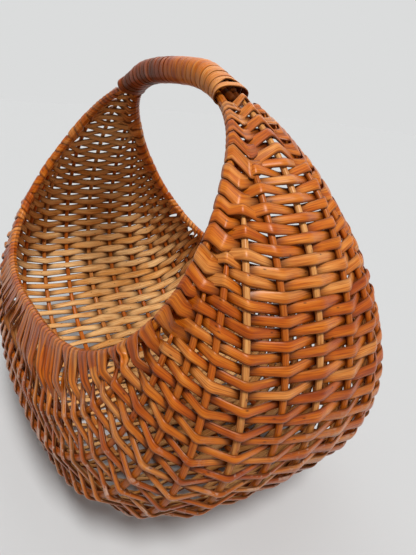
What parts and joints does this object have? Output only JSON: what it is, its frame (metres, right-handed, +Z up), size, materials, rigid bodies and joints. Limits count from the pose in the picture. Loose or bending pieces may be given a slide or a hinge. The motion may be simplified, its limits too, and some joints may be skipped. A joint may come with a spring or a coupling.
{
  "type": "basket",
  "caption": "Round-bottomed oval frame basket woven from split willow over lengthwise ribs, with two rim hoops that join in a wrapped arched handle.",
  "frame": {"origin": "middle of the footprint, on the ground plane that the worn bottom rests on", "axes": "+X along the handle and the ribs, from one shoulder to the other; +Y across the handle, away from the near rim; +Z up"},
  "size_m": [0.364, 0.2396, 0.3003],
  "materials": {
    "rim_rod": "peeled willow rod, satin varnish",
    "core_rod": "peeled willow rod, bare",
    "handle_skein": "split willow skein, glossy honey varnish",
    "pale_rib": "pale straw willow rod, satin varnish",
    "brown_rib": "reddish brown willow rod, satin varnish",
    "wall_skein": "split willow skein, glossy orange brown varnish outside, matt golden tan inside"
  },
  "bodies": {
    "root": {"handle_bow": "core_rod", "handle_filler_far": "core_rod", "handle_filler_near": "core_rod", "handle_wrap": "handle_skein", "rib_far_1": "brown_rib", "rib_far_2": "brown_rib", "rib_far_3": "brown_rib", "rib_far_4": "brown_rib", "rib_far_5": "brown_rib", "rib_far_6": "brown_rib", "rib_middle": "pale_rib", "rib_near_1": "brown_rib", "rib_near_2": "pale_rib", "rib_near_3": "brown_rib", "rib_near_4": "brown_rib", "rib_near_5": "brown_rib", "rib_near_6": "brown_rib", "rim_hoop_far": "rim_rod", "rim_hoop_near": "rim_rod", "weaver_01": "wall_skein", "weaver_02": "wall_skein", "weaver_03": "wall_skein", "weaver_04": "wall_skein", "weaver_05": "wall_skein", "weaver_06": "wall_skein", "weaver_07": "wall_skein", "weaver_08": "wall_skein", "weaver_09": "wall_skein", "weaver_10": "wall_skein", "weaver_11": "wall_skein", "weaver_12": "wall_skein", "weaver_13": "wall_skein", "weaver_14": "wall_skein", "weaver_15": "wall_skein", "weaver_16": "wall_skein", "weaver_17": "wall_skein", "weaver_18": "wall_skein", "weaver_19": "wall_skein", "weaver_20": "wall_skein", "weaver_21": "wall_skein", "weaver_22": "wall_skein", "weaver_23": "wall_skein", "weaver_24": "wall_skein", "weaver_25": "wall_skein", "weaver_26": "wall_skein", "weaver_27": "wall_skein", "weaver_28": "wall_skein", "weaver_29": "wall_skein", "weaver_30": "wall_skein", "weaver_31": "wall_skein", "weaver_32": "wall_skein"}
  },
  "joints": []
}
